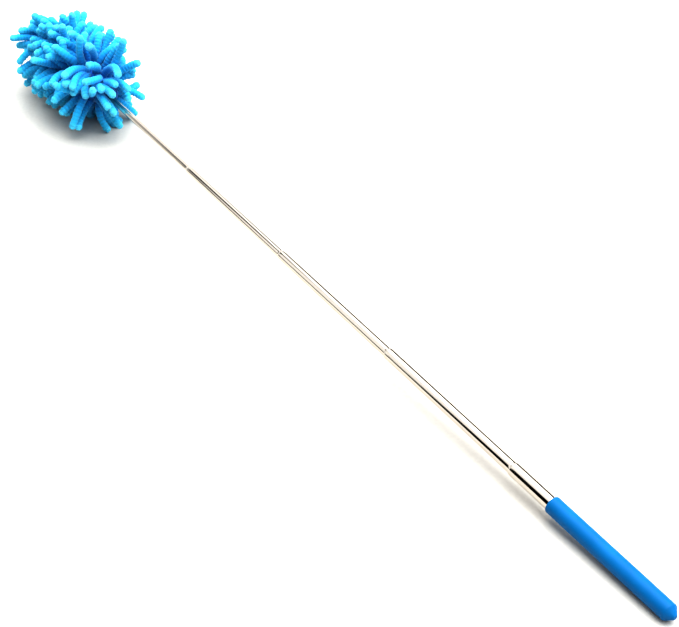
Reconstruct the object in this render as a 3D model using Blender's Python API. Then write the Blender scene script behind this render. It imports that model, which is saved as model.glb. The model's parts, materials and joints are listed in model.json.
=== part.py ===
"""Telescopic chenille duster, drawn out to its full length and lying on a surface.

A vinyl grip covers the outer steel tube. Four thinner tubes draw out of it, each one guided and held
by a pair of friction shells. The thinnest carries a plastic core, and a chenille cover is tied to it.

Every turned piece is described along the pole: x runs from the grip's tip towards the head, and a
profile is a list of (x, radius) pairs. The pole's own axis is tilted a little, because the grip and the
squashed pile of the head rest on the same surface. The world origin is the middle of the footprint.
"""

import math

import bmesh
import bpy
from mathutils import Matrix, Vector

MM = 0.001
SIDES = 32  # facets round a turned piece

# The pole
TUBE_NAMES = ("outer_tube", "second_tube", "third_tube", "fourth_tube", "tip_tube")
OUTER_TUBE_RADIUS = 4.5 * MM
TUBE_WALL = 0.25 * MM
TUBE_GAP = 0.25 * MM  # between one tube's bore and the next tube: the friction shells fill it
SECTION_SHOWN = 124 * MM  # of each inner tube, when drawn out
SECTION_PARKED = 6.5 * MM  # of each inner tube still showing, when pushed in
OUTER_TUBE_SHOWN = 35 * MM  # in front of the grip
MOUTH_TAPER = 2.4 * MM  # each tube is swaged in over this length at its mouth
MOUTH_LIP = 0.4 * MM
MOUTH_CLEARANCE = 0.06 * MM
BELL_LENGTH = 1.0 * MM  # flared rear end of each inner tube
RUNNING_CLEARANCE = 0.05 * MM
SHELL_LENGTH = 6.0 * MM
SHELL_ARC = math.radians(166)
SHELL_BORE_CLEARANCE = 0.04 * MM
SHELL_OUTER_CLEARANCE = 0.03 * MM
AXIAL_GAP = 0.1 * MM
BEAD_LENGTH = 0.6 * MM
BEAD_HEIGHT = 0.14 * MM  # the raised ring that keeps the shells against the bell
PARK_GAP = 0.3 * MM  # between the parked tubes and the end plug

# The grip and the plug inside it
FIT_GAP = 0.1 * MM  # between pieces that don't move on each other
GRIP_WALL = 1.0 * MM
GRIP_CONE = 4.6 * MM
GRIP_TIP_RADIUS = 1.7 * MM
GRIP_EDGE = 0.45 * MM  # rounding of the grip's edges
GRIP_END_WALL = 4.6 * MM
PLUG_FLANGE = 0.8 * MM
PLUG_BODY = 1.4 * MM
PLUG_CHAMFER = 0.4 * MM

# The head
HEAD_HEIGHT = 34 * MM  # of the pole's axis under the middle of the head, on the squashed pile
PILE_RADIUS = 42 * MM
PILE_LENGTH = 141 * MM
PILE_BEHIND_NECK = 15 * MM  # the rearmost strands point back along the pole
PILE_FRONT_DOME = 50 * MM
PILE_REAR_DOME = 74 * MM
PILE_MOUTH_RADIUS = 14 * MM  # the clear space round the pole, at the pile's back
CORE_LENGTH = 84 * MM
CORE_RADIUS = 10.5 * MM
CORE_WALL = 1.4 * MM
CORE_NECK_RADIUS = 7 * MM
CORE_NECK_LENGTH = 9 * MM
CORE_SHOULDER = 3.5 * MM
SOCKET_DEPTH = 18 * MM
SOCKET_WALL = 2.4 * MM
CAP_SKIRT = 5 * MM
CAP_WALL = 1.4 * MM
PIN_RADIUS = 0.8 * MM
PIN_FROM_NECK = 7.2 * MM
TIE_RADIUS = 0.9 * MM
TIE_FROM_NECK = 3.6 * MM
GROOVE_DEPTH = 0.8 * MM
GROOVE_HALF_WIDTH = 1.4 * MM
COVER_THICKNESS = 1.2 * MM
COVER_GAP = 0.3 * MM  # between the core, the backing cloth and the pile

# Worked out from the sizes above
RADIUS_STEP = TUBE_WALL + TUBE_GAP
TRAVEL = SECTION_SHOWN - SECTION_PARKED
SHELL_START = BELL_LENGTH + AXIAL_GAP
BEAD_START = SHELL_START + SHELL_LENGTH + AXIAL_GAP
INSERT = BEAD_START + MOUTH_TAPER  # of each inner tube inside the next, when drawn out
OUTER_TUBE_LENGTH = PLUG_BODY + PARK_GAP + TRAVEL + INSERT
OUTER_TUBE_START = GRIP_END_WALL + PLUG_FLANGE + 2 * FIT_GAP
FIRST_MOUTH = OUTER_TUBE_START + OUTER_TUBE_LENGTH
GRIP_LENGTH = FIRST_MOUTH - OUTER_TUBE_SHOWN
GRIP_BORE = OUTER_TUBE_RADIUS + FIT_GAP
GRIP_RADIUS = GRIP_BORE + GRIP_WALL
TIP_TUBE_RADIUS = OUTER_TUBE_RADIUS - RADIUS_STEP * (len(TUBE_NAMES) - 1)
NECK = FIRST_MOUTH + SECTION_SHOWN * (len(TUBE_NAMES) - 1)  # rear face of the head's core
SOCKET_RADIUS = TIP_TUBE_RADIUS + FIT_GAP
COVER_RADIUS = CORE_RADIUS + COVER_GAP + COVER_THICKNESS
PILE_BORE = COVER_RADIUS + COVER_GAP
PILE_MIDDLE = NECK - PILE_BEHIND_NECK + PILE_LENGTH / 2


def rest_tilt():
    """The pole's angle above the surface: the grip's shoulder touches it, and the head is HEAD_HEIGHT up."""
    reach = PILE_MIDDLE - GRIP_CONE
    return math.asin(HEAD_HEIGHT / math.hypot(reach, GRIP_RADIUS)) - math.atan2(GRIP_RADIUS, reach)


TILT = rest_tilt()
AXIS = Vector((math.cos(TILT), 0, math.sin(TILT)))
TIP_HEIGHT = GRIP_RADIUS * math.cos(TILT) - GRIP_CONE * math.sin(TILT)


def clear_scene():
    for obj in list(bpy.data.objects):
        bpy.data.objects.remove(obj)


def make_material(name, colour, roughness, metallic=0.0):
    material = bpy.data.materials.new(name)
    material.use_nodes = True
    shader = material.node_tree.nodes["Principled BSDF"]
    shader.inputs["Base Color"].default_value = (*colour, 1)
    shader.inputs["Roughness"].default_value = roughness
    shader.inputs["Metallic"].default_value = metallic
    return material


def make_materials():
    return {
        "vinyl": make_material("blue_vinyl", (0.0, 0.19, 0.72), 0.3),
        "steel": make_material("polished_steel", (0.78, 0.74, 0.68), 0.12, 1.0),
        "bronze": make_material("spring_bronze", (0.66, 0.42, 0.2), 0.35, 1.0),
        "nylon": make_material("black_nylon", (0.03, 0.03, 0.035), 0.5),
        "core": make_material("blue_polypropylene", (0.02, 0.22, 0.6), 0.45),
        "cloth": make_material("knitted_backing", (0.01, 0.25, 0.62), 0.9),
        "elastic": make_material("white_elastic", (0.8, 0.8, 0.78), 0.8),
        "chenille": make_material("blue_chenille", (0.01, 0.33, 0.8), 0.95),
    }


def axis_empty(name, x, parent=None):
    """An empty on the pole's axis, x along it from its parent."""
    empty = bpy.data.objects.new(name, None)
    bpy.context.scene.collection.objects.link(empty)
    empty.parent = parent
    empty.location.x = x
    return empty


def add_object(name, bm, material, parent, x=0.0):
    """Turns bm into an object x along its parent's axis, with smooth round faces and sharp edges."""
    bmesh.ops.recalc_face_normals(bm, faces=bm.faces)
    mesh = bpy.data.meshes.new(name)
    bm.to_mesh(mesh)
    bm.free()
    mesh.shade_smooth()
    mesh.set_sharp_from_angle(angle=math.radians(30))
    mesh.materials.append(material)
    obj = bpy.data.objects.new(name, mesh)
    bpy.context.scene.collection.objects.link(obj)
    obj.parent = parent
    obj.location.x = x
    return obj


def profile_edges(bm, profile, is_closed):
    corners = [bm.verts.new((x, 0, radius)) for x, radius in profile]
    pairs = list(zip(corners, corners[1:]))
    if is_closed:
        pairs.append((corners[-1], corners[0]))
    return corners + [bm.edges.new(pair) for pair in pairs]


def turned(profile):
    """A solid turned round the X axis. A profile that starts and ends on the axis is left open there."""
    bm = bmesh.new()
    is_closed = profile[0][1] > 0 or profile[-1][1] > 0
    geometry = profile_edges(bm, profile, is_closed)
    bmesh.ops.spin(
        bm, geom=geometry, cent=(0, 0, 0), axis=(1, 0, 0), angle=math.tau, steps=SIDES, use_merge=True
    )
    bmesh.ops.remove_doubles(bm, verts=bm.verts, dist=0.001 * MM)
    return bm


def arc_segment(profile, start, arc, steps):
    """Part of a turned ring, from the angle start on, with its two ends filled."""
    bm = bmesh.new()
    geometry = profile_edges(bm, profile, is_closed=True)
    turn = Matrix.Rotation(start, 3, "X")
    bmesh.ops.rotate(bm, verts=bm.verts, cent=(0, 0, 0), matrix=turn)
    bmesh.ops.spin(bm, geom=geometry, cent=(0, 0, 0), axis=(1, 0, 0), angle=arc, steps=steps)
    bmesh.ops.holes_fill(bm, edges=[edge for edge in bm.edges if edge.is_boundary])
    return bm


def rounded_corner(centre_x, centre_radius, size, start, end, steps=3):
    """Points of an arc in the profile's plane. Angles are in degrees: 0 points along x, 90 outwards."""
    angles = [math.radians(start + (end - start) * i / steps) for i in range(steps + 1)]
    return [(centre_x + size * math.cos(a), centre_radius + size * math.sin(a)) for a in angles]


def mouth_profile(length, radius):
    """The swaged mouth at a tube's front: down the outside, round the lip, and back along the inside."""
    hole = radius - RADIUS_STEP + MOUTH_CLEARANCE
    half_wall = TUBE_WALL / 2
    lip = rounded_corner(length - half_wall, hole + half_wall, half_wall, 90, -90, 4)
    return [
        (length - MOUTH_TAPER, radius),
        (length - MOUTH_LIP, hole + TUBE_WALL),
        *lip,
        (length - MOUTH_LIP, hole),
        (length - MOUTH_TAPER, radius - TUBE_WALL),
    ]


def bell_and_bead_profile(radius):
    """The outside of an inner tube's rear end: the flared bell, the shells' seat and the retaining bead."""
    flare = TUBE_GAP - RUNNING_CLEARANCE
    bead_rise = BEAD_LENGTH / 4
    return [
        (0, radius + flare),
        (BELL_LENGTH / 2, radius + flare),
        (BELL_LENGTH, radius),
        (BEAD_START, radius),
        (BEAD_START + bead_rise, radius + BEAD_HEIGHT),
        (BEAD_START + BEAD_LENGTH - bead_rise, radius + BEAD_HEIGHT),
        (BEAD_START + BEAD_LENGTH, radius),
    ]


def bell_bore_profile(radius):
    """The inside of the same end, from front to back."""
    bore = radius - TUBE_WALL
    flared = bore + TUBE_GAP - RUNNING_CLEARANCE
    return [(BELL_LENGTH, bore), (BELL_LENGTH / 2, flared), (0, flared)]


def make_outer_tube(materials, parent):
    bore = OUTER_TUBE_RADIUS - TUBE_WALL
    profile = [(0, OUTER_TUBE_RADIUS), *mouth_profile(OUTER_TUBE_LENGTH, OUTER_TUBE_RADIUS), (0, bore)]
    return add_object(TUBE_NAMES[0], turned(profile), materials["steel"], parent, OUTER_TUBE_START)


def make_inner_tube(index, materials, parent):
    """Tubes two to four. The object's origin is the middle of the tube's rear end."""
    radius = OUTER_TUBE_RADIUS - RADIUS_STEP * index
    length = INSERT + SECTION_SHOWN
    profile = bell_and_bead_profile(radius) + mouth_profile(length, radius) + bell_bore_profile(radius)
    return add_object(TUBE_NAMES[index], turned(profile), materials["steel"], parent)


def make_tip_tube(materials, parent):
    """The thinnest tube has a plain front end, which is pinned inside the socket of the head's core."""
    length = INSERT + SECTION_SHOWN + SOCKET_DEPTH - FIT_GAP
    profile = [
        *bell_and_bead_profile(TIP_TUBE_RADIUS),
        (length, TIP_TUBE_RADIUS),
        (length, TIP_TUBE_RADIUS - TUBE_WALL),
        *bell_bore_profile(TIP_TUBE_RADIUS),
    ]
    return add_object(TUBE_NAMES[-1], turned(profile), materials["steel"], parent)


def make_friction_shells(index, materials, parent):
    """Two half-round springs between an inner tube and the bore it slides in, behind the tube's bead."""
    tube_radius = OUTER_TUBE_RADIUS - RADIUS_STEP * index
    inner = tube_radius + SHELL_BORE_CLEARANCE
    outer = tube_radius + TUBE_GAP - SHELL_OUTER_CLEARANCE
    front = SHELL_START + SHELL_LENGTH
    profile = [(SHELL_START, inner), (SHELL_START, outer), (front, outer), (front, inner)]
    steps = round(SIDES * SHELL_ARC / math.tau)
    section = TUBE_NAMES[index].removesuffix("_tube")
    for side, middle in (("left", 0.0), ("right", math.pi)):
        bm = arc_segment(profile, middle - SHELL_ARC / 2, SHELL_ARC, steps)
        add_object(f"{section}_shell_{side}", bm, materials["bronze"], parent)


def make_grip(materials, parent):
    """The dip-moulded sleeve: a closed cone at the tip, a straight body and a soft front edge."""
    slope = math.degrees(math.atan2(GRIP_RADIUS - GRIP_TIP_RADIUS, GRIP_CONE))
    tip = rounded_corner(GRIP_EDGE, GRIP_TIP_RADIUS - GRIP_EDGE, GRIP_EDGE, 180, 90 + slope, 2)
    front = rounded_corner(GRIP_LENGTH - GRIP_EDGE, GRIP_RADIUS - GRIP_EDGE, GRIP_EDGE, 90, 0, 2)
    profile = [
        (0, 0),
        *tip,
        (GRIP_CONE - GRIP_EDGE / 2, GRIP_RADIUS - GRIP_EDGE / 3),
        (GRIP_CONE + GRIP_EDGE / 2, GRIP_RADIUS),
        *front,
        (GRIP_LENGTH, GRIP_BORE),
        (GRIP_END_WALL, GRIP_BORE),
        (GRIP_END_WALL, 0),
    ]
    return add_object("grip_sleeve", turned(profile), materials["vinyl"], parent)


def make_end_plug(materials, parent):
    """Closes the outer tube's rear end, so that the parked tubes can't drop into the grip."""
    start = GRIP_END_WALL + FIT_GAP
    seat = OUTER_TUBE_START - FIT_GAP - start
    body_radius = OUTER_TUBE_RADIUS - TUBE_WALL - FIT_GAP
    end = seat + FIT_GAP + PLUG_BODY
    profile = [
        (0, 0),
        (0, OUTER_TUBE_RADIUS),
        (seat, OUTER_TUBE_RADIUS),
        (seat, body_radius),
        (end - PLUG_CHAMFER, body_radius),
        (end, body_radius - PLUG_CHAMFER),
        (end, 0),
    ]
    return add_object("end_plug", turned(profile), materials["nylon"], parent, start)


def neck_profile(offset):
    """Outline of the core's neck, tie groove and shoulder, moved outwards by offset."""
    floor = CORE_NECK_RADIUS - GROOVE_DEPTH + offset
    return [
        (TIE_FROM_NECK - GROOVE_HALF_WIDTH, CORE_NECK_RADIUS + offset),
        (TIE_FROM_NECK - GROOVE_HALF_WIDTH / 2, floor),
        (TIE_FROM_NECK + GROOVE_HALF_WIDTH / 2, floor),
        (TIE_FROM_NECK + GROOVE_HALF_WIDTH, CORE_NECK_RADIUS + offset),
        (CORE_NECK_LENGTH, CORE_NECK_RADIUS + offset),
        (CORE_NECK_LENGTH + CORE_SHOULDER, CORE_RADIUS + offset),
    ]


def make_core(materials, parent):
    """The hollow spindle inside the head. Its rear end is the socket for the tip tube."""
    bore = CORE_RADIUS - CORE_WALL
    boss = SOCKET_RADIUS + SOCKET_WALL
    hollow_start = CORE_NECK_LENGTH + CORE_SHOULDER
    profile = [
        (SOCKET_DEPTH + SOCKET_WALL, 0),
        (SOCKET_DEPTH + SOCKET_WALL, boss),
        (hollow_start, boss),
        (hollow_start, bore),
        (CORE_LENGTH, bore),
        (CORE_LENGTH, CORE_RADIUS),
        *reversed(neck_profile(0)),
        (0, CORE_NECK_RADIUS),
        (0, SOCKET_RADIUS),
        (SOCKET_DEPTH, SOCKET_RADIUS),
        (SOCKET_DEPTH, 0),
    ]
    return add_object("core_spindle", turned(profile), materials["core"], parent)


def dome(centre_x, radius, steps):
    """A quarter circle from the side to the tip."""
    return rounded_corner(centre_x, 0, radius, 90, 0, steps)[:-1] + [(centre_x + radius, 0)]


def make_core_cap(materials, parent):
    """The domed cap that closes the spindle's open front end, with a skirt inside its bore."""
    seat = CORE_LENGTH + FIT_GAP
    skirt_radius = CORE_RADIUS - CORE_WALL - FIT_GAP
    hollow = skirt_radius - CAP_WALL
    profile = [
        *reversed(dome(seat, CORE_RADIUS, 6)),
        (seat, skirt_radius),
        (CORE_LENGTH - CAP_SKIRT, skirt_radius),
        (CORE_LENGTH - CAP_SKIRT, hollow),
        *dome(seat, hollow, 4),
    ]
    return add_object("core_cap", turned(profile), materials["core"], parent)


def make_cover(materials, parent):
    """The knitted sleeve over the core. Its hem is at the neck, and it is sewn shut over the cap."""
    inside = [(FIT_GAP, CORE_NECK_RADIUS + COVER_GAP), *neck_profile(COVER_GAP)]
    outside = [
        (FIT_GAP, CORE_NECK_RADIUS + COVER_GAP + COVER_THICKNESS),
        *neck_profile(COVER_GAP + COVER_THICKNESS),
    ]
    seat = CORE_LENGTH + FIT_GAP
    profile = [
        *reversed(dome(seat, CORE_RADIUS + COVER_GAP, 6)),
        *reversed(inside),
        *outside,
        *dome(seat, COVER_RADIUS, 6),
    ]
    return add_object("cover_backing", turned(profile), materials["cloth"], parent)


def make_neck_tie(materials, parent):
    """The elastic ring that holds the cover's hem in the core's groove."""
    groove_floor = CORE_NECK_RADIUS - GROOVE_DEPTH + COVER_GAP + COVER_THICKNESS
    ring_radius = groove_floor + FIT_GAP + TIE_RADIUS
    profile = rounded_corner(0, ring_radius, TIE_RADIUS, 0, 360, 8)[:-1]
    return add_object("neck_tie", turned(profile), materials["elastic"], parent, TIE_FROM_NECK)


def make_cross_pin(materials, parent, core, tip_tube):
    """The pin through the core's neck and the tip tube, and the hole it goes through in both."""
    half_length = CORE_NECK_RADIUS - FIT_GAP
    for name, radius, reach in (
        ("pin_hole_cutter", PIN_RADIUS + FIT_GAP, 2 * half_length),
        ("socket_pin", PIN_RADIUS, half_length),
    ):
        bm = bmesh.new()
        bmesh.ops.create_cone(
            bm, cap_ends=True, segments=16, radius1=radius, radius2=radius, depth=2 * reach
        )
        pin = add_object(name, bm, materials["steel"], parent, PIN_FROM_NECK)
        if name == "pin_hole_cutter":
            pin.hide_render = True
            pin.display_type = "WIRE"
            cutter = pin
    for obj in (core, tip_tube):
        cut = obj.modifiers.new("pin_hole", "BOOLEAN")
        cut.operation = "DIFFERENCE"
        cut.object = cutter


def stretched_arc(centre_x, length, start, end, steps):
    """Part of an ellipse in the profile's plane, length long and PILE_RADIUS high."""
    arc = rounded_corner(0, 0, 1, start, end, steps)
    return [(centre_x + x * length, y * PILE_RADIUS) for x, y in arc]


def pile_profile():
    """The pile's outer shape: a dome in front, a longer one behind, and a funnel round the pole."""
    rim_angle = math.asin(PILE_MOUTH_RADIUS / PILE_RADIUS)
    front_centre = PILE_LENGTH - PILE_BEHIND_NECK - PILE_FRONT_DOME
    rear_centre = PILE_REAR_DOME * math.cos(rim_angle) - PILE_BEHIND_NECK
    back = stretched_arc(rear_centre, PILE_REAR_DOME, 180 - math.degrees(rim_angle), 90, 8)
    front = stretched_arc(front_centre, PILE_FRONT_DOME, 90, 0, 9)
    tip = (front_centre + PILE_FRONT_DOME, 0)
    seat = CORE_LENGTH + FIT_GAP
    bore_start = CORE_NECK_LENGTH + CORE_SHOULDER
    return [*reversed(dome(seat, PILE_BORE, 5)), (bore_start, PILE_BORE), *back, *front[:-1], tip]


def make_pile(materials, parent):
    """All the chenille strands as one soft solid, flat where the head's weight squashes it."""
    bm = turned(pile_profile())
    to_world = Matrix.Translation((0, 0, TIP_HEIGHT)) @ Matrix.Rotation(-TILT, 4, "Y")
    to_head = (to_world @ Matrix.Translation((NECK, 0, 0))).inverted()
    bmesh.ops.bisect_plane(
        bm,
        geom=[*bm.verts, *bm.edges, *bm.faces],
        plane_co=to_head @ Vector((0, 0, 0)),
        plane_no=to_head.to_3x3() @ Vector((0, 0, -1)),
        clear_outer=True,
    )
    bmesh.ops.holes_fill(bm, edges=[edge for edge in bm.edges if edge.is_boundary])
    return add_object("chenille_pile", bm, materials["chenille"], parent)


def world_points(obj):
    return [obj.matrix_world @ vertex.co for vertex in obj.data.vertices]


def centre_on_footprint(root):
    """Moves the whole object along X, so that the world origin is under the middle of it."""
    bpy.context.view_layer.update()
    shown = [obj for obj in bpy.data.objects if obj.type == "MESH" and not obj.hide_render]
    reaches = [point.x for obj in shown for point in world_points(obj)]
    root.location.x -= (min(reaches) + max(reaches)) / 2
    bpy.context.view_layer.update()


def main():
    clear_scene()
    materials = make_materials()
    root = axis_empty("pole_axis", 0)
    root.location.z = TIP_HEIGHT
    root.rotation_euler.y = -TILT
    make_grip(materials, root)
    make_end_plug(materials, root)
    make_outer_tube(materials, root)

    # Each section hangs on the one before. Its empty is at the middle of the tube's rear end.
    section, x = root, FIRST_MOUTH - INSERT
    for index in range(1, len(TUBE_NAMES)):
        section = axis_empty(TUBE_NAMES[index] + "_axis", x, section)
        make_friction_shells(index, materials, section)
        if index < len(TUBE_NAMES) - 1:
            make_inner_tube(index, materials, section)
        else:
            tip_tube = make_tip_tube(materials, section)
        x = SECTION_SHOWN

    head = axis_empty("head_axis", INSERT + SECTION_SHOWN, section)
    core = make_core(materials, head)
    make_core_cap(materials, head)
    make_cross_pin(materials, head, core, tip_tube)
    make_cover(materials, head)
    make_neck_tie(materials, head)
    pile = make_pile(materials, head)
    centre_on_footprint(root)

    low = [point.x for point in world_points(pile) if point.z < FIT_GAP]
    print("pole axis", [round(value, 7) for value in AXIS])
    print("grip tip", [round(value, 6) for value in root.matrix_world.translation])
    print("resting face from x =", round(min(low), 6), "to", round(max(low), 6))
    for obj in bpy.data.objects:
        if obj.type == "EMPTY":
            print(obj.name, [round(value, 6) for value in obj.matrix_world.translation])
    print("travel", round(TRAVEL, 6))


main()
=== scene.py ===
# %% [markdown]
# # A telescopic chenille duster
#
# The duster lies on a white table, drawn out to its full length. Nearly everything about it is round:
# a vinyl grip, five steel tubes that slide into one another, and a head of soft chenille strands. So the
# whole lesson uses one idea. A turned piece is a profile carried round the pole's axis, and a strand is a
# circle carried along a bent line. Both are grids of points that numpy works out in one go.
#
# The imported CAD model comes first. It gives the pole's axis and where each piece begins and ends, and
# the hidden pieces inside the grip and the head are used as they are.

# %% Load the frame
import json
import math

import bpy
import numpy as np
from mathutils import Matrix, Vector


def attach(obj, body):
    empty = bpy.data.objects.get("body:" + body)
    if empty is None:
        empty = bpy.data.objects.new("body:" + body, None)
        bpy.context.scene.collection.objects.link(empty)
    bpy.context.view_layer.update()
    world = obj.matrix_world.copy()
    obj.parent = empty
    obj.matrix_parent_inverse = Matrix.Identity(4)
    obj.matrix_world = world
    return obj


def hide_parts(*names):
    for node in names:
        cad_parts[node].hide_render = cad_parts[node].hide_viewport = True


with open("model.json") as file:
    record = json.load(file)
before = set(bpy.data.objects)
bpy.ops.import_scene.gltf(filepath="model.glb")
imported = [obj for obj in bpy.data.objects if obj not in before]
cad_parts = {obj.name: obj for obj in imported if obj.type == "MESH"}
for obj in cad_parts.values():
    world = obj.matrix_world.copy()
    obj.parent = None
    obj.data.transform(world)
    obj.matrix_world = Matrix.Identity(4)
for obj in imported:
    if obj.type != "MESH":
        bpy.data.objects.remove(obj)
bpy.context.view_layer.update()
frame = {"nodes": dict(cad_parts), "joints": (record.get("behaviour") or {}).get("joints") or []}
MM = 0.001

# %% [markdown]
# ## The pole's own frame
#
# The pole rises slightly towards the head, so its pieces are easier to describe along the pole than along
# the world's axes. A point is given as x along the axis from the tip of the grip, y to the side and z
# upwards, in millimetres. `to_world` turns and moves whole arrays of such points at once: it multiplies
# each of the three numbers by that axis's direction and adds the grip's tip.

# %% Measure the axis and the pieces along it
joints = {joint["name"]: joint for joint in frame["joints"]}
ALONG = np.array(joints["second_slide"]["axis"], float)
ALONG /= np.linalg.norm(ALONG)
SIDE = np.array([0.0, 1.0, 0.0])
ABOVE = np.cross(ALONG, SIDE)
joint_point = np.array(joints["second_spin"]["pos_m"], float) / MM


def vertices_mm(node):
    """All vertices of a CAD node as an array, in millimetres."""
    mesh = frame["nodes"][node].data
    points = np.zeros(len(mesh.vertices) * 3)
    mesh.vertices.foreach_get("co", points)
    return points.reshape(-1, 3) / MM


GRIP_TIP = joint_point + ALONG * ((vertices_mm("grip_sleeve") - joint_point) @ ALONG).min()


def reach(node):
    """The first and the last x of a node along the pole."""
    along = (vertices_mm(node) - GRIP_TIP) @ ALONG
    return along.min(), along.max()


def to_world(points):
    """Pole frame in millimetres to world in metres: x times ALONG plus y times SIDE plus z times ABOVE."""
    axes = np.stack([ALONG, SIDE, ABOVE])
    return (GRIP_TIP + points @ axes) * MM


TUBES = ("outer_tube", "second_tube", "third_tube", "fourth_tube", "tip_tube")
GRIP_LENGTH = reach("grip_sleeve")[1]
NECK = reach("core_spindle")[0]
MOUTHS = [reach(tube)[1] for tube in TUBES]
print("grip", round(GRIP_LENGTH, 1), "mouths", np.round(MOUTHS, 1), "neck", round(NECK, 1))

# %% [markdown]
# ## Grids of points
#
# Every new surface is a grid: rows along the piece, columns round it. `grid_faces` joins the columns into
# a ring, and an end is closed onto one single point, a pole, with a fan of triangles, so no two corners lie
# on top of each other. `make_piece` puts arrays into a mesh with `foreach_set` and stores two things with
# it: a UV map whose numbers are real millimetres, for patterns that follow the surface, and any attributes.

# %% Grid helpers
def grid_faces(rows, columns, closed_rows=False):
    """Quads between neighbouring rows of a grid. The last column joins the first, and so may the rows."""
    row = np.arange(rows if closed_rows else rows - 1)[:, None]
    column = np.arange(columns)[None, :]
    next_row, next_column = (row + 1) % rows, (column + 1) % columns
    corners = [
        row * columns + column,
        next_row * columns + column,
        next_row * columns + next_column,
        row * columns + next_column,
    ]
    return np.stack([np.broadcast_to(corner, (len(row), columns)) for corner in corners], -1).reshape(-1, 4)


def make_piece(name, points, faces, uv, material, body, attributes=()):
    """A mesh object from points in world metres that rides on a body.

    faces is a list of arrays with three or four corners a row, and uv has a pair of millimetres per vertex.
    """
    mesh = bpy.data.meshes.new(name)
    loops = np.concatenate([part.ravel() for part in faces]).astype(np.int32)
    sizes = np.concatenate([np.full(len(part), part.shape[1]) for part in faces])
    mesh.vertices.add(len(points))
    mesh.vertices.foreach_set("co", points.ravel())
    mesh.loops.add(len(loops))
    mesh.loops.foreach_set("vertex_index", loops)
    mesh.polygons.add(len(sizes))
    mesh.polygons.foreach_set("loop_start", np.concatenate([[0], np.cumsum(sizes)[:-1]]).astype(np.int32))
    mesh.polygons.foreach_set("use_smooth", np.ones(len(sizes), bool))
    mesh.update(calc_edges=True)
    layer = mesh.uv_layers.new(name="millimetres")
    layer.data.foreach_set("uv", uv[loops].ravel())
    for key, values in attributes:
        mesh.attributes.new(key, "FLOAT", "POINT").data.foreach_set("value", values.ravel())
    mesh.validate()
    mesh.materials.append(material)
    piece = bpy.data.objects.new(name, mesh)
    bpy.context.scene.collection.objects.link(piece)
    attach(piece, body)
    triangles = int((sizes - 2).sum())
    print(f"{name}: {len(points)} points, {triangles} triangles")
    return piece


# %% [markdown]
# ## Turned pieces
#
# A lathe shape is a profile of (x, radius) pairs turned round the axis: a point of it is
# (x, radius times sine of the angle, radius times cosine of the angle). Where the profile starts or ends
# on the axis, that end is one vertex with a fan of triangles. A hollow piece's profile goes out along the
# outside and back along the inside, and its last row joins the first.

# %% The lathe
def turned_piece(name, profile, material, body, columns=96, ripple=None):
    """Turns a profile round the pole: each (x, radius) becomes a ring of points at that radius.

    ripple(x, angle) works on whole arrays, and what it gives is added to the radius.
    """
    profile = np.array(profile, float)
    starts_on_axis, ends_on_axis = profile[0, 1] == 0, profile[-1, 1] == 0
    rings = profile[int(starts_on_axis) : len(profile) - int(ends_on_axis)]
    angle = np.arange(columns) * math.tau / columns
    x = np.repeat(rings[:, :1], columns, 1)
    radius = np.repeat(rings[:, 1:], columns, 1)
    if ripple:
        radius = radius + ripple(x, np.broadcast_to(angle, x.shape))
    points = np.stack([x, radius * np.sin(angle), radius * np.cos(angle)], -1).reshape(-1, 3)
    steps = np.hypot(*np.diff(rings, axis=0).T)
    travelled = np.repeat(np.concatenate([[0], np.cumsum(steps)])[:, None], columns, 1)
    uv = np.stack([angle[None, :] * rings[:, 1].max() + 0 * x, travelled], -1).reshape(-1, 2)
    closed_loop = not (starts_on_axis or ends_on_axis)
    faces = [grid_faces(len(rings), columns, closed_loop)]
    ring = np.arange(columns)
    for is_there, row, end, order in (
        (starts_on_axis, 0, profile[0], 1),
        (ends_on_axis, len(rings) - 1, profile[-1], -1),
    ):
        if is_there:
            tip = np.full(columns, len(points))
            points = np.vstack([points, [[end[0], 0, 0]]])
            uv = np.vstack([uv, [[0, uv[row * columns, 1]]]])
            first, second = row * columns + ring, row * columns + (ring + 1) % columns
            faces.append(np.stack([tip, first, second] if order > 0 else [tip, second, first], -1))
    return make_piece(name, to_world(points), faces, uv, material, body)


def arc(centre_x, centre_radius, size, start, end, steps):
    """Points of a circular arc in the profile's plane. Degrees: 0 points along x, 90 outwards."""
    angle = np.radians(np.linspace(start, end, steps + 1))
    return np.stack([centre_x + size * np.cos(angle), centre_radius + size * np.sin(angle)], -1)


def line(start, end, steps):
    """Evenly spaced points from start to end, so that long straight walls have rows of even length."""
    return np.linspace(start, end, steps + 1)


# %% [markdown]
# ## Materials
#
# A finish is a small tree of nodes. `srgb` turns a colour as written in a paint chart into the linear
# numbers that light works with, and `add_node` adds one node with its settings and links. Every material
# is named for what the piece is made of and how.

# %% Node helpers
def srgb(code):
    """A hex colour as linear red, green, blue and alpha.

    Each value, a little raised, is taken to the power 2.4. Near black it is divided by 12.92 instead.
    """
    values = np.array([int(code[i : i + 2], 16) for i in (1, 3, 5)]) / 255
    linear = np.where(values <= 0.04045, values / 12.92, ((values + 0.055) / 1.055) ** 2.4)
    return (*linear.tolist(), 1.0)


def add_node(tree, kind, settings=(), **inputs):
    """Adds a node. An input is a value or another node's socket; its name has _ for a space."""
    node = tree.nodes.new("ShaderNode" + kind)
    for key, value in dict(settings).items():
        setattr(node, key, value)
    for key, value in inputs.items():
        socket = node.inputs[int(key[1:])] if key[1:].isdigit() else node.inputs[key.replace("_", " ")]
        if isinstance(value, bpy.types.NodeSocket):
            tree.links.new(value, socket)
        else:
            socket.default_value = value
    return node


def new_material(name, **inputs):
    """A material with one Principled shader. Returns it with its tree and shader."""
    material = bpy.data.materials.new(name)
    material.use_nodes = True
    shader = material.node_tree.nodes["Principled BSDF"]
    for key, value in inputs.items():
        shader.inputs[key.replace("_", " ")].default_value = value
    return material, material.node_tree, shader


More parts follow.
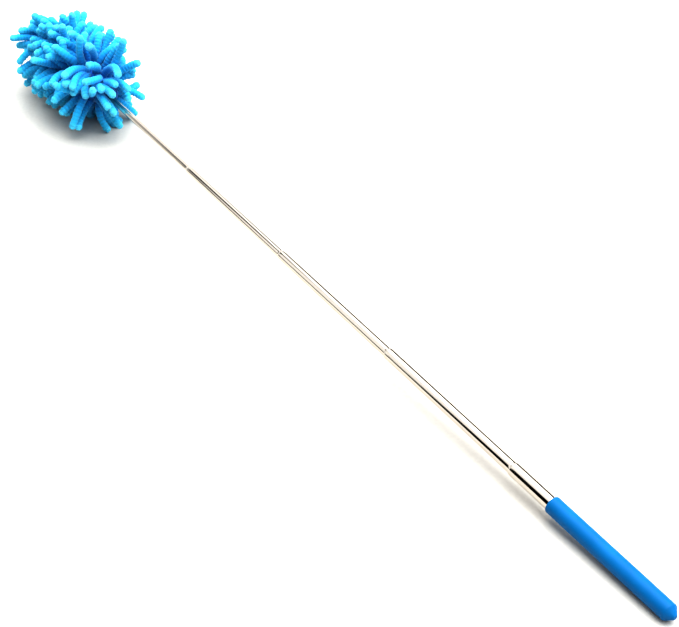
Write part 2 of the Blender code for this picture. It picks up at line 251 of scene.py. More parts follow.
def ramp(tree, factor, *stops):
    """A colour ramp node's colour socket. Each stop is a position and a linear colour."""
    node = add_node(tree, "ValToRGB", Fac=factor)
    elements = node.color_ramp.elements
    while len(elements) < len(stops):
        elements.new(0.5)
    for element, (position, colour) in zip(elements, stops):
        element.position, element.color = position, colour
    return node.outputs["Color"]


# %% [markdown]
# ### Polished stainless steel
#
# The tubes are drawn from stainless strip and buffed. That leaves very fine marks along the tube and a
# mirror between them, so what is seen is mostly the room. Stainless steel gives back about two thirds of
# the light, a little more of the red than of the blue. The buffing marks are a noise 10 mm long and
# 0.25 mm wide, turned to follow the pole. A real mark is about 0.05 mm wide, too fine to show.

# %% Steel for the tubes
ALONG_X_TILT = (0, math.asin(ALONG[2]), 0)


def make_steel():
    """Buffed stainless strip: a mirror that fine marks make streaky and faint smears make a little dull."""
    material, tree, shader = new_material("polished_stainless_steel", Metallic=1.0)
    place = add_node(tree, "TexCoord").outputs["Object"]
    level = add_node(tree, "Mapping", Vector=place, Rotation=ALONG_X_TILT, Scale=(100, 4000, 4000))
    marks = add_node(tree, "TexNoise", Vector=level.outputs[0], Scale=1.0, Detail=3.0)
    smears = add_node(tree, "TexNoise", Vector=place, Scale=60.0, Detail=2.0)
    dull = add_node(
        tree, "MapRange", Value=smears.outputs[0], From_Min=0.35, From_Max=0.75, To_Min=0.05, To_Max=0.11
    )
    tree.links.new(dull.outputs[0], shader.inputs["Roughness"])
    tint = ramp(tree, marks.outputs[0], (0.3, srgb("#D0C9BF")), (0.7, srgb("#D9D2C8")))
    tree.links.new(tint, shader.inputs["Base Color"])
    bump = add_node(tree, "Bump", Height=marks.outputs[0], Strength=0.05, Distance=0.00002)
    tree.links.new(bump.outputs[0], shader.inputs["Normal"])
    return material


STEEL = make_steel()
print("steel tilted by", round(math.degrees(ALONG_X_TILT[1]), 2), "degrees")

# %% [markdown]
# ## The five tubes
#
# Each tube is strip rolled and welded, with a wall of a quarter of a millimetre. Its mouth is swaged in
# over the last millimetre or so, until it nearly touches the next tube, and its rear end is flared so that
# it can't be pulled out. The profile runs along the outside from the bell to the rolled lip and comes
# back inside. Straight walls get a row every few millimetres, because the shading and the buffing marks
# stay cleaner on even faces.

# %% Turn the tubes
OUTER_RADIUS, RADIUS_STEP, WALL = 4.5, 0.5, 0.25
BELL, FLARE = 1.0, 0.2
BEAD_START, BEAD, BEAD_RISE = 7.2, 0.6, 0.14
SWAGE, LIP, LIP_GAP = 1.3, 0.3, 0.06
WALL_ROWS = 40


def smooth_step(start, end, steps):
    """An S-shaped run from start to end: the radius follows three squares minus two cubes."""
    share = np.linspace(0, 1, steps + 1)
    eased = share * share * (3 - 2 * share)
    return np.stack([start[0] + (end[0] - start[0]) * share, start[1] + (end[1] - start[1]) * eased], -1)


def mouth_profile(x, radius):
    """Swaged mouth: in along an S, round the lip, and back along the inside."""
    hole = radius - RADIUS_STEP + LIP_GAP
    outside = smooth_step((x - SWAGE, radius), (x - LIP, hole + WALL), 10)
    lip = arc(x - WALL / 2, hole + WALL / 2, WALL / 2, 90, -90, 6)
    inside = smooth_step((x - LIP, hole), (x - SWAGE, radius - WALL), 6)
    return np.vstack([outside, lip, inside])


def rear_profile(x, radius):
    """Bell, seat of the friction shells and the bead in front of them, along the outside."""
    bead = x + BEAD_START
    return np.vstack(
        [
            [(x, radius + FLARE), (x + BELL / 2, radius + FLARE)],
            smooth_step((x + BELL / 2, radius + FLARE), (x + BELL, radius), 4)[1:],
            [(bead, radius)],
            smooth_step((bead, radius), (bead + BEAD / 3, radius + BEAD_RISE), 4)[1:],
            smooth_step((bead + BEAD * 2 / 3, radius + BEAD_RISE), (bead + BEAD, radius), 4),
        ]
    )


def tube_profile(index):
    """Along the outside from the rear end to the mouth, and back along the bore, one wall further in.

    The outer tube has no bell at the rear, and the tip tube has no swage at its mouth.
    """
    radius = OUTER_RADIUS - RADIUS_STEP * index
    start, end = reach(TUBES[index])
    bore = radius - WALL
    front = mouth_profile(end, radius)
    if index == len(TUBES) - 1:
        front = np.array([(end, radius), (end, bore)])
    if index == 0:
        rear, back = np.array([(start, radius)]), np.array([(start, bore)])
    else:
        rear = rear_profile(start, radius)
        back = np.array([(start + BELL, bore), (start + BELL / 2, bore + FLARE), (start, bore + FLARE)])
    outside = line(rear[-1], front[0], WALL_ROWS)[1:-1]
    inside = line(front[-1], back[0], WALL_ROWS)[1:-1]
    return np.vstack([rear, outside, front, inside, back])


SECTION_BODIES = ("handle", "second_section", "third_section", "fourth_section", "tip_section")
for index, (tube, body) in enumerate(zip(TUBES, SECTION_BODIES)):
    piece = turned_piece(tube + "_polished", tube_profile(index), STEEL, body)
    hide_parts(tube)

# %% [markdown]
# ## The vinyl grip
#
# The grip is dip-moulded: a hot former is dipped in liquid vinyl, which skins over and is pulled off as a
# sleeve. Such a skin is satin rather than glossy and has no seam. It ends in the soft edge where it was
# trimmed, hugs the tube, and is thickest at the tail, where the vinyl ran down and made a blunt cone.

# %% Vinyl
def make_vinyl():
    """PVC plastisol, dip-moulded. Its surface has a fine orange peel of about half a millimetre."""
    material, tree, shader = new_material(
        "dip_moulded_blue_vinyl", Roughness=0.42, Specular_IOR_Level=0.12
    )
    place = add_node(tree, "TexCoord").outputs["Object"]
    cloud = add_node(tree, "TexNoise", Vector=place, Scale=45.0, Detail=3.0)
    tint = ramp(tree, cloud.outputs[0], (0.35, srgb("#00649C")), (0.65, srgb("#026CA6")))
    tree.links.new(tint, shader.inputs["Base Color"])
    peel = add_node(tree, "TexNoise", Vector=place, Scale=1800.0, Detail=2.0)
    handled = add_node(tree, "TexNoise", Vector=place, Scale=90.0, Detail=4.0)
    worn = add_node(
        tree, "MapRange", Value=handled.outputs[0], From_Min=0.3, From_Max=0.7, To_Min=0.36, To_Max=0.5
    )
    tree.links.new(worn.outputs[0], shader.inputs["Roughness"])
    bump = add_node(tree, "Bump", Height=peel.outputs[0], Strength=0.15, Distance=0.0001)
    tree.links.new(bump.outputs[0], shader.inputs["Normal"])
    return material


VINYL = make_vinyl()

# %% Turn the grip
GRIP_RADIUS, GRIP_BORE, GRIP_END_WALL = 5.6, 4.6, 4.6
CONE, TIP_RADIUS, SHOULDER_RADIUS, EDGE = 4.6, 1.7, 1.1, 0.45
SLEEVE_ROWS = 60


def grip_profile():
    """Out from the tip, up the cone, along the sleeve, round the trimmed edge and back down the bore."""
    slope = math.degrees(math.atan2(GRIP_RADIUS - TIP_RADIUS, CONE))
    tip = arc(EDGE, TIP_RADIUS - EDGE, EDGE, 180, 90 + slope, 6)
    turn = math.tan(math.radians(slope) / 2) * SHOULDER_RADIUS
    shoulder = arc(CONE + turn, GRIP_RADIUS - SHOULDER_RADIUS, SHOULDER_RADIUS, 90 + slope, 90, 8)
    front = arc(GRIP_LENGTH - EDGE, GRIP_RADIUS - EDGE, EDGE, 90, 0, 6)
    sleeve = line(shoulder[-1], front[0], SLEEVE_ROWS)[1:-1]
    bore = line((GRIP_LENGTH, GRIP_BORE), (GRIP_END_WALL, GRIP_BORE), WALL_ROWS)
    return np.vstack([[(0, 0)], tip, shoulder, sleeve, front, bore, [(GRIP_END_WALL, 0)]])


grip = turned_piece("grip_skin", grip_profile(), VINYL, "handle", columns=128)
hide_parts("grip_sleeve")

# %% [markdown]
# ## The knitted backing
#
# Under the strands is a sleeve of knitted cloth, pulled over the plastic core and tied at the neck. It
# is stretched smooth over the core, and gathered into small folds where the elastic holds it. The folds
# are a sine wave round the neck that dies out towards the shoulder.

# %% Cloth
def make_cloth():
    """Knitted microfibre: dull, with a faint bloom. Its stitches are about 1.2 mm wide and 0.9 mm high.

    At a scale of 0.31 the wave repeats about once per unit, and the Mapping node makes a unit one stitch.
    """
    material, tree, shader = new_material(
        "knitted_microfibre_backing", Roughness=0.9, Sheen_Weight=0.3, Specular_IOR_Level=0.2
    )
    flat = add_node(tree, "UVMap", {"uv_map": "millimetres"}).outputs[0]
    ribs = add_node(tree, "Mapping", Vector=flat, Scale=(1 / 1.2, 1 / 0.9, 1))
    knit = add_node(
        tree, "TexWave", {"bands_direction": "Y"}, Vector=ribs.outputs[0], Scale=0.31, Distortion=1.5
    )
    tint = ramp(tree, knit.outputs[0], (0.2, srgb("#0E5FB4")), (0.8, srgb("#1C7FD6")))
    tree.links.new(tint, shader.inputs["Base Color"])
    bump = add_node(tree, "Bump", Height=knit.outputs[0], Strength=0.5, Distance=0.0003)
    tree.links.new(bump.outputs[0], shader.inputs["Normal"])
    return material


CLOTH = make_cloth()

# %% Turn the backing
CORE_RADIUS, COVER_GAP, COVER_THICKNESS = 10.5, 0.3, 1.2
CORE_NECK, NECK_LENGTH, SHOULDER, CORE_LENGTH = 7.0, 9.0, 3.5, 84.0
TIE_AT, GROOVE, GROOVE_HALF, FLOOR_HALF = 3.6, 0.8, 1.4, 0.5
HEM = 0.1
COVER_RADIUS = CORE_RADIUS + COVER_GAP + COVER_THICKNESS
GATHERS, FOLD_DEPTH = 26, 0.22
BACKING_COLUMNS = 8 * GATHERS


def neck_profile(offset):
    """The neck with its groove and the shoulder up to the core, moved outwards by offset."""
    neck, floor = CORE_NECK + offset, CORE_NECK - GROOVE + offset
    return np.vstack(
        [
            [(HEM, neck), (TIE_AT - GROOVE_HALF, neck)],
            smooth_step((TIE_AT - GROOVE_HALF, neck), (TIE_AT - FLOOR_HALF, floor), 4)[1:],
            smooth_step((TIE_AT + FLOOR_HALF, floor), (TIE_AT + GROOVE_HALF, neck), 4),
            [(NECK_LENGTH, neck)],
            smooth_step((NECK_LENGTH, neck), (NECK_LENGTH + SHOULDER, CORE_RADIUS + offset), 6)[1:],
        ]
    )


def cover_profile():
    """From the dome's inside back to the neck, round the hem, and forward again along the outside."""
    seat = CORE_LENGTH + HEM
    inner_dome = arc(seat, 0, CORE_RADIUS + COVER_GAP, 0, 90, 14)
    outer_dome = arc(seat, 0, COVER_RADIUS, 90, 0, 14)
    inner_dome[0, 1] = outer_dome[-1, 1] = 0
    inside, outside = neck_profile(COVER_GAP), neck_profile(COVER_GAP + COVER_THICKNESS)
    profile = np.vstack([inner_dome, inside[::-1], outside, outer_dome])
    return profile + [NECK, 0]


def gather(x, angle):
    """Small folds at the neck: a sine of the angle, which fades as x nears the shoulder."""
    fade = np.clip((NECK + NECK_LENGTH - x) / NECK_LENGTH, 0, 1)
    return FOLD_DEPTH * fade * np.sin(GATHERS * angle)


backing = turned_piece(
    "backing_sleeve", cover_profile(), CLOTH, "tip_section", columns=BACKING_COLUMNS, ripple=gather
)
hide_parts("cover_backing")

# %% [markdown]
# ## The chenille strands
#
# Each strand is a finger of microfibre chenille, 5.8 mm thick and about 30 mm long. Its root is sewn to
# the backing, its free end is rounded, and it holds itself up but sags under its own weight. Nobody could
# pose nearly two hundred of them by hand, so they are let go and settle by themselves.
#
# A strand is a short chain of points. At each step every chain is nudged down by gravity, bent back
# towards its natural curve, pushed out of its neighbours, the core, the pole and the table, and kept at
# its length. After 160 steps hardly anything moves any more. All strands are one numpy array, so that a
# step costs a few milliseconds.

# %% [markdown]
# ### Where the strands grow
#
# The roots stand in staggered rows along the core, and in three rings on its dome. The lean is how far
# a strand points forward from straight out, and it grows from the neck to the front. The head was laid
# down on its side, and that adds three habits. At the rear, the strands on the upper side fall back over
# the pole. Underneath, they are pushed forward. Along the crest, they part and most go over to one side.
# There are fewer than two hundred strands, so each can have a few hundred faces. The numbers were found by
# trial, by comparing the settled head with the outline and the clusters of a real one.

# %% Where the strands grow and which way they point
random = np.random.default_rng(269)
STRAND_RADIUS, STRAND_LENGTH, LINKS = 2.9, 32.412, 8
FIRST_ROW, ROW_PITCH, PER_ROW = 8.6, 5.5, 13
LEAN_AT, LEAN = (0.10, 0.17, 0.22, 0.35, 0.6, 1.0), (-48, -11, 10, 12, 23, 47)
FALL_BACK, PUSHED_FORWARD, CREST_FORWARD, PARTING = 65, 31, 11, 30  # degrees
FALL_SIDE, PARTING_SIDE = 0.87, -0.35  # radians round the pole, from the top, where the two are strongest
FALL_FADE, CREST_RISE, PARTING_RISE = (0.2, 0.3), (0.3, 0.2), (0.18, 0.15)  # from a share, over a share
ANGLE_SCATTER, X_SCATTER, LEAN_SCATTER, SWERVE_SCATTER = 0.06, 0.6, 12, 15  # radians, mm, degrees twice
SEWN_IN = 1.0
NECK_COVER = CORE_NECK + 1.5
DOME_RINGS, DOME_TURN = ((30, 9), (58, 5), (90, 1)), 0.3
SHORTEST, LONGEST = 0.80, 1.08


def rise(share, start, over):
    """Straight from 0 at start to 1 at start plus over, and level on both sides."""
    return np.clip((share - start) / over, 0, 1)


def make_roots():
    """Root points and directions in the pole frame. A share is 0 at the neck and 1 at the front.

    A direction is outwards times the cosine of the lean, forwards times its sine, and the outward part is
    turned round the pole by the swerve.
    """
    rows = []
    for number, x in enumerate(np.arange(NECK + FIRST_ROW, NECK + CORE_LENGTH, ROW_PITCH)):
        angle = (np.arange(PER_ROW) + 0.5 * (number % 2)) * math.tau / PER_ROW
        lean = math.radians(np.interp((x - NECK) / CORE_LENGTH, LEAN_AT, LEAN))
        radius = np.interp(x - NECK, (NECK_LENGTH, NECK_LENGTH + SHOULDER), (NECK_COVER, COVER_RADIUS))
        rows.append([np.full(PER_ROW, x), angle, np.full(PER_ROW, radius), np.full(PER_ROW, lean)])
    for polar, count in DOME_RINGS:
        angle = (np.arange(count) + DOME_TURN) * math.tau / count
        x = NECK + CORE_LENGTH + COVER_RADIUS * math.sin(math.radians(polar))
        radius = COVER_RADIUS * math.cos(math.radians(polar))
        lean = math.radians(LEAN[-1] + (90 - LEAN[-1]) * polar / 90)
        rows.append([np.full(count, x), angle, np.full(count, radius), np.full(count, lean)])
    x, angle, radius, lean = (np.concatenate(values) for values in zip(*rows))
    count = len(x)
    angle = angle + random.normal(0, ANGLE_SCATTER, count)
    x = x + random.normal(0, X_SCATTER, count)
    lean = lean + np.radians(random.normal(0, LEAN_SCATTER, count))
    share = (x - NECK) / CORE_LENGTH
    top, underneath = np.maximum(np.cos(angle), 0), np.maximum(-np.cos(angle), 0)
    fall_side = np.maximum(np.cos(angle - FALL_SIDE), 0)
    parting_side = np.maximum(np.cos(angle - PARTING_SIDE), 0)
    lean -= math.radians(FALL_BACK) * fall_side * (1 - rise(share, *FALL_FADE))
    lean += math.radians(PUSHED_FORWARD) * underneath
    lean += math.radians(CREST_FORWARD) * top * rise(share, *CREST_RISE) * np.clip(2 - 2 * share, 0, 1)
    parting = PARTING * parting_side * rise(share, *PARTING_RISE)
    swerve = np.radians(random.normal(0, SWERVE_SCATTER, count) + parting)
    outward = np.stack([0 * x, np.sin(angle), np.cos(angle)], -1)
    around = np.stack([0 * x, np.cos(angle), -np.sin(angle)], -1)
    forward = np.array([1.0, 0.0, 0.0])
    direction = (
        outward * (np.cos(lean) * np.cos(swerve))[:, None]
        + forward * np.sin(lean)[:, None]
        + around * (np.cos(lean) * np.sin(swerve))[:, None]
    )
    roots = outward * (radius - SEWN_IN)[:, None] + x[:, None] * forward
    return roots, direction / np.linalg.norm(direction, axis=1)[:, None]


roots, directions = make_roots()
STRANDS = len(roots)
lengths = STRAND_LENGTH * random.uniform(SHORTEST, LONGEST, STRANDS)
print("strands:", STRANDS, "together", round(lengths.sum() / 1000, 2), "m")

# %% Let the strands settle
SAG, STIFFNESS, CURL, STEPS = 0.1939, 0.30, 0.0757, 160
TABLE_LIFT = STRAND_RADIUS - 0.25  # a strand on the table is pressed a quarter of a millimetre flatter
LOOK_FOR_PAIRS, PAIR_MARGIN = 8, 1.5  # every so many steps, and among points that nearly touch
CLOSEST, SHOVE = 0.93, 0.35  # pile gives way a little, and each step clears part of an overlap
PARKED_AT = (0, 6, 7, 13, 14, 20, 21)  # mm behind the neck, where the pushed-in tubes end one after another
PARKED_RADIUS = (2.6, 3.0, 3.5, 3.5, 4.0, 4.0, 4.5)
POLE_CLEARANCE, GIVE = 0.6, 0.9  # air round the pole, and the share of its radius a strand keeps there
up_in_pole_frame = np.array([ALONG[2], SIDE[2], ABOVE[2]])
height_of_tip = GRIP_TIP[2]


def unit(vectors):
    """Each vector divided by its own length."""
    return vectors / np.maximum(np.linalg.norm(vectors, axis=-1, keepdims=True), 1e-9)


def pole_keep_out(x):
    """How far a strand's middle must stay from the axis: the core, or the parked tubes behind the neck."""
    behind = NECK - x
    tube = np.interp(behind, PARKED_AT, PARKED_RADIUS)
    core_at, core_radius = (0, NECK_LENGTH, NECK_LENGTH + SHOULDER), (NECK_COVER, NECK_COVER, COVER_RADIUS)
    core = np.interp(x - NECK, core_at, core_radius)
    return np.where(behind > 0, tube + POLE_CLEARANCE, core) + STRAND_RADIUS * GIVE


def push_off_solids(chain):
    """Moves points out of the core and the pole, sideways from the axis, and up off the table."""
    radial = chain[..., 1:]
    distance = np.linalg.norm(radial, axis=-1)
    needed = pole_keep_out(chain[..., 0])
    beyond_core = chain[..., 0] > NECK + CORE_LENGTH
    scale = np.where((distance < needed) & ~beyond_core, needed / np.maximum(distance, 1e-6), 1.0)
    chain[..., 1:] = radial * scale[..., None]
    height = height_of_tip + chain @ up_in_pole_frame
    short = np.maximum(TABLE_LIFT - height, 0)
    chain += short[..., None] * up_in_pole_frame


def close_pairs(flat, owner, margin):
    """Index pairs of points of different strands that are nearly touching."""
    square = (flat * flat).sum(1)
    distance = square[:, None] + square[None, :] - 2 * flat @ flat.T
    near = distance < (2 * STRAND_RADIUS + margin) ** 2
    first, second = np.nonzero(np.triu(near, 1))
    other = owner[first] != owner[second]
    return first[other], second[other]


def settle():
    """The strands' points at rest: straight chains, to which every step does all that is said above.

    A point is drawn towards the straight continuation of the link before it, turned a little by the curl.
    """
    link = (lengths / LINKS)[:, None]
    along = np.arange(LINKS + 1)[None, :, None]
    chain = roots[:, None, :] + directions[:, None, :] * along * link[..., None]
    curl = np.cross(directions, random.normal(0, 1, (STRANDS, 3)))
    curl = unit(curl) * random.uniform(0.0, CURL, (STRANDS, 1)) * link
    owner = np.repeat(np.arange(STRANDS), LINKS + 1)
    weight = np.linspace(0, 1, LINKS + 1)[None, :, None] ** 0.5
    for step in range(STEPS):
        before = chain.copy()
        chain -= up_in_pole_frame * SAG * weight
        for i in range(2, LINKS + 1):
            heading = unit(chain[:, i - 1] - chain[:, i - 2]) + curl
            wanted = chain[:, i - 1] + unit(heading) * link
            chain[:, i] += STIFFNESS * (wanted - chain[:, i])
        if step % LOOK_FOR_PAIRS == 0:
            first, second = close_pairs(chain.reshape(-1, 3), owner, PAIR_MARGIN)
        flat = chain.reshape(-1, 3)
        gap = flat[first] - flat[second]
        distance = np.linalg.norm(gap, axis=1)
        overlap = np.maximum(2 * STRAND_RADIUS * CLOSEST - distance, 0)
        shove = gap * (SHOVE * overlap / np.maximum(distance, 1e-6))[:, None]
        np.add.at(flat, first, shove)
        np.subtract.at(flat, second, shove)
        push_off_solids(chain)
        chain[:, 0] = roots
        chain[:, 1] = roots + directions * link
        for i in range(2, LINKS + 1):
            chain[:, i] = chain[:, i - 1] + unit(chain[:, i] - chain[:, i - 1]) * link
    moved = np.linalg.norm(chain - before, axis=-1).max()
    print("contacts:", int((overlap > 0).sum()), "last step moved", round(float(moved), 3), "mm")
    return chain


chains = settle()

# %% [markdown]
# ### From chains to chenille
#
# A smooth line goes through each chain's points: between two of them it is a cubic whose slope at a
# point is half the way from the point before to the point after. A circle is carried along it. Chenille
# is cut pile on a twisted cord, so a strand is not smooth: the pile bunches into soft rings and tufts. A
# real ring is about 1 mm, and here it is 2.7 mm so that it shows. At the free end the circles shrink along
# a quarter circle and make the rounded end.

# %% Sweep the strands
SPACING, COLUMNS, RING_PITCH, RING_DEPTH, TUFTS = 0.9, 12, 2.7, 0.085, 0.05
CAP_ANGLES, CAP_POINT = (0, 24, 45, 63, 78), 0.022  # and how far the end point is beyond the last circle
THINNEST, THICKEST = 0.93, 1.05
SIDEWAYS = (0.31, 0.9, 0.3)  # the first circle's side is square to this and to the strand


def along_curve(chain, share):
    """Catmull-Rom curve through each chain, read at the shares 0 to 1 of its length."""
    padded = np.concatenate(
        [2 * chain[:, :1] - chain[:, 1:2], chain, 2 * chain[:, -1:] - chain[:, -2:-1]], axis=1
    )
    place = np.clip(share * LINKS, 0, LINKS - 1e-6)
    i = place.astype(int)
    t = (place - i)[..., None]
    rows = np.arange(len(chain))[:, None]
    a, b, c, d = (padded[rows, i + k] for k in range(4))
    return 0.5 * (2 * b + (c - a) * t + (2 * a - 5 * b + 4 * c - d) * t**2 + (3 * b - a - 3 * c + d) * t**3)


def sweep(numbers):
    """Points, faces, millimetre UVs and attributes of the strands with those numbers, as one mesh.

    A point is the centre line plus the radius times cosine and sine of its angle, along two directions that
    stand square on the line and turn with it as little as they can. The radius is the strand's own times one
    plus a small cosine of the length travelled, for the rings, and at the free end it shrinks to nearly
    nothing as a quarter circle does. One last point beyond it closes the end.
    """
    count = len(numbers)
    length = lengths[numbers][:, None]
    body = np.arange(0, STRAND_LENGTH - STRAND_RADIUS, SPACING)
    cap = STRAND_LENGTH - STRAND_RADIUS + STRAND_RADIUS * np.sin(np.radians(CAP_ANGLES))
    along = np.concatenate([body, cap])
    along = along[None, :] * length / STRAND_LENGTH
    rings = along.shape[1]
    centre = along_curve(chains[numbers], along / length)
    tangent = unit(np.gradient(centre, axis=1))
    side = unit(np.cross(tangent[:, 0], SIDEWAYS))
    frames = np.zeros((count, rings, 2, 3))
    for ring in range(rings):
        side = unit(side - tangent[:, ring] * (side * tangent[:, ring]).sum(-1, keepdims=True))
        frames[:, ring, 0], frames[:, ring, 1] = side, np.cross(tangent[:, ring], side)
    from_end = np.clip((along - (length - STRAND_RADIUS)) / STRAND_RADIUS, 0, 1)
    radius = STRAND_RADIUS * np.sqrt(1 - from_end**2)
    phase = random.uniform(0, math.tau, (count, 1))
    ring_wave = np.cos(math.tau * along / RING_PITCH + phase)
    radius = radius * (1 + RING_DEPTH * ring_wave)
    radius = radius * random.uniform(THINNEST, THICKEST, (count, 1))
    angle = np.arange(COLUMNS) * math.tau / COLUMNS
    circle = np.stack([np.cos(angle), np.sin(angle)])
    offset = np.einsum("srij,ic->srcj", frames, circle) * radius[..., None, None]
    offset *= random.normal(1, TUFTS, (count, rings, COLUMNS, 1))
    points = (centre[:, :, None, :] + offset).reshape(count, -1, 3)
    ends = np.stack([centre[:, 0], centre[:, -1] + tangent[:, -1] * STRAND_RADIUS * CAP_POINT], axis=1)
    points = np.concatenate([points, ends], axis=1)
    per_strand = rings * COLUMNS + 2
    start = (np.arange(count) * per_strand)[:, None, None]
    quads = grid_faces(rings, COLUMNS)[:, ::-1][None]
    ring = np.arange(COLUMNS)
    last = (rings - 1) * COLUMNS
    base_fan = np.stack([ring, (ring + 1) % COLUMNS, np.full(COLUMNS, rings * COLUMNS)], -1)
    tip_fan = np.stack([last + (ring + 1) % COLUMNS, last + ring, np.full(COLUMNS, per_strand - 1)], -1)
    faces = [(part + start).reshape(-1, part.shape[-1]) for part in (quads, base_fan[None], tip_fan[None])]
    u = np.broadcast_to(angle * STRAND_RADIUS, (count, rings, COLUMNS)).reshape(count, -1)
    v = np.repeat(along, COLUMNS, axis=1)
    nothing = 0 * length
    root_uv, end_uv = np.stack([nothing, nothing], -1), np.stack([nothing, length], -1)
    uv = np.concatenate([np.stack([u, v], -1), root_uv, end_uv], 1)
    from_root = np.concatenate([v, nothing, length], 1) / length
    strand_number = np.broadcast_to(random.uniform(0, 1, (count, 1)), from_root.shape)
    fullness = np.concatenate([np.repeat(ring_wave, COLUMNS, axis=1), nothing, nothing], 1)
    return points, faces, uv, from_root, strand_number, fullness


# %% [markdown]
# ### Microfibre chenille
#
# The pile is split polyester, finer than a hair, so light goes a little way in and comes out softened:
# a soft sheen, hardly any gloss, and a saturated azure. Its colour also holds painted shade, deep blue near
# the root where little light gets in and darker in the grooves between the rings, and painted light,
# paler towards the tips that catch it. The fuzz is a noise of about 0.7 mm, coarser than the real fibres
# so that it shows.

# %% Chenille
def make_chenille():
    """Cut pile: painted shade deep at the root and between the rings, painted light pale at the tip,
    and no two strands alike.
    """
    material, tree, shader = new_material(
        "microfibre_chenille", Roughness=0.95, Specular_IOR_Level=0.1, Sheen_Weight=0.5, Sheen_Roughness=0.5
    )
    shader.inputs["Sheen Tint"].default_value = srgb("#A8ECFF")
    place = add_node(tree, "TexCoord").outputs["Object"]
    fuzz = add_node(tree, "TexNoise", Vector=place, Scale=1400.0, Detail=3.0, Roughness=0.6)
    share = add_node(tree, "Attribute", {"attribute_name": "from_root"}).outputs["Fac"]
    number = add_node(tree, "Attribute", {"attribute_name": "strand_number"}).outputs["Fac"]
    fullness = add_node(tree, "Attribute", {"attribute_name": "fullness"}).outputs["Fac"]
    # Painted shade and light: deep blue at the root, where shade falls, and paler towards the lit tip.
    painted_root_shade_tip_light = ramp(
        tree,
        share,
        (0.0, srgb("#085CA4")),
        (0.4, srgb("#1C94D0")),
        (0.8, srgb("#32B2E2")),
        (1.0, srgb("#5CD2F2")),
    )
    shift = add_node(tree, "MapRange", Value=number, To_Min=0.88, To_Max=1.1)
    tuft = add_node(
        tree, "MapRange", Value=fuzz.outputs[0], From_Min=0.3, From_Max=0.7, To_Min=0.8, To_Max=1.15
    )
    # Painted shade: the colour is darker in the grooves between the rings, where the ring wave is low.
    groove = add_node(tree, "MapRange", Value=fullness, From_Min=-1.0, To_Min=0.84, To_Max=1.08)
    both = add_node(tree, "Math", {"operation": "MULTIPLY"}, _0=shift.outputs[0], _1=tuft.outputs[0])
    both = add_node(tree, "Math", {"operation": "MULTIPLY"}, _0=both.outputs[0], _1=groove.outputs[0])
    tint = add_node(tree, "VectorMath", {"operation": "SCALE"}, _0=painted_root_shade_tip_light, Scale=both.outputs[0])
    tree.links.new(tint.outputs[0], shader.inputs["Base Color"])
    bump = add_node(tree, "Bump", Height=fuzz.outputs[0], Strength=0.6, Distance=0.0004)
    tree.links.new(bump.outputs[0], shader.inputs["Normal"])
    return material


CHENILLE = make_chenille()

# %% Make the pile
third = np.array_split(np.argsort(roots[:, 0]), 3)
for name, numbers in zip(("rear", "middle", "front"), third):
    points, faces, uv, from_root, strand_number, fullness = sweep(numbers)
    piece = make_piece(
        f"chenille_strands_{name}",
        to_world(points.reshape(-1, 3)),
        faces,
        uv.reshape(-1, 2),
        CHENILLE,
        "tip_section",
        (("from_root", from_root), ("strand_number", strand_number), ("fullness", fullness)),
    )
    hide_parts("chenille_pile")

# %% [markdown]
# ## The pieces inside
#
# The friction shells, the plug, the core with its cap and pin, and the elastic ring keep their CAD shapes.
# They are hidden or nearly so, but anyone who takes the duster apart sees them, so each one still gets the
# finish of what it is made of. Rolled spring bronze is a warm, half-dull metal. Moulded nylon is nearly
# black with a satin skin, and moulded polypropylene is a clearer blue, a little smoother. The elastic is a
# dull braid, a shade deeper than the knit.

# %% Finishes of the inner pieces
ROUGHNESS_SPREAD = 0.08


def grained_finish(name, light, dark, roughness, metallic, grain_mm):
    """Two shades and a grain of that many millimetres, which also changes the roughness and the relief."""
    material, tree, shader = new_material(name, Metallic=metallic)
    place = add_node(tree, "TexCoord").outputs["Object"]
    grain = add_node(tree, "TexNoise", Vector=place, Scale=1 / (grain_mm * MM), Detail=3.0)
    tint = ramp(tree, grain.outputs[0], (0.3, srgb(dark)), (0.7, srgb(light)))
    tree.links.new(tint, shader.inputs["Base Color"])
    smoother, rougher = roughness - ROUGHNESS_SPREAD, roughness + ROUGHNESS_SPREAD
    rough = add_node(tree, "MapRange", Value=grain.outputs[0], To_Min=smoother, To_Max=rougher)
    tree.links.new(rough.outputs[0], shader.inputs["Roughness"])
    bump = add_node(tree, "Bump", Height=grain.outputs[0], Strength=0.2, Distance=0.0001)
    tree.links.new(bump.outputs[0], shader.inputs["Normal"])
    return material


BRONZE = grained_finish("rolled_spring_bronze", "#D9A266", "#C48A50", 0.35, 1.0, 0.3)
NYLON = grained_finish("moulded_black_nylon", "#26272B", "#1B1C1F", 0.5, 0.0, 0.6)
POLYPROPYLENE = grained_finish("moulded_blue_polypropylene", "#2E7AC6", "#276EB6", 0.45, 0.0, 0.8)
ELASTIC = grained_finish("braided_blue_elastic", "#1B6DB8", "#125796", 0.85, 0.0, 0.5)
INNER_FINISHES = {
    "end_plug": NYLON,
    "core_spindle": POLYPROPYLENE,
    "core_cap": POLYPROPYLENE,
    "socket_pin": STEEL,
    "neck_tie": ELASTIC,
}
for node, piece in frame["nodes"].items():
    finish = BRONZE if "_shell_" in node else INNER_FINISHES.get(node)
    if finish:
        piece.data.materials.clear()
        piece.data.materials.append(finish)

# %% [markdown]
# ## Table, light and camera
#
# The table is a sheet of white laminate with a faint grain of 2.5 mm. The light comes from one large soft
# source overhead and a little behind the duster, and from a faint window beyond the grip, which opens the
# shadows. One side of the room is dark, and polished steel mirrors it as a black stripe along the thickest
# tubes, with a thin dark seam as a second line. Lamps would be mirrored as lamps, so the world itself is
# painted by direction: how bright a part of the room is depends on how closely a direction points at it.
# Seen directly, the world is plain white.

# %% Table
TABLE_HALF, TABLE_TOP = 4.0, -0.0002


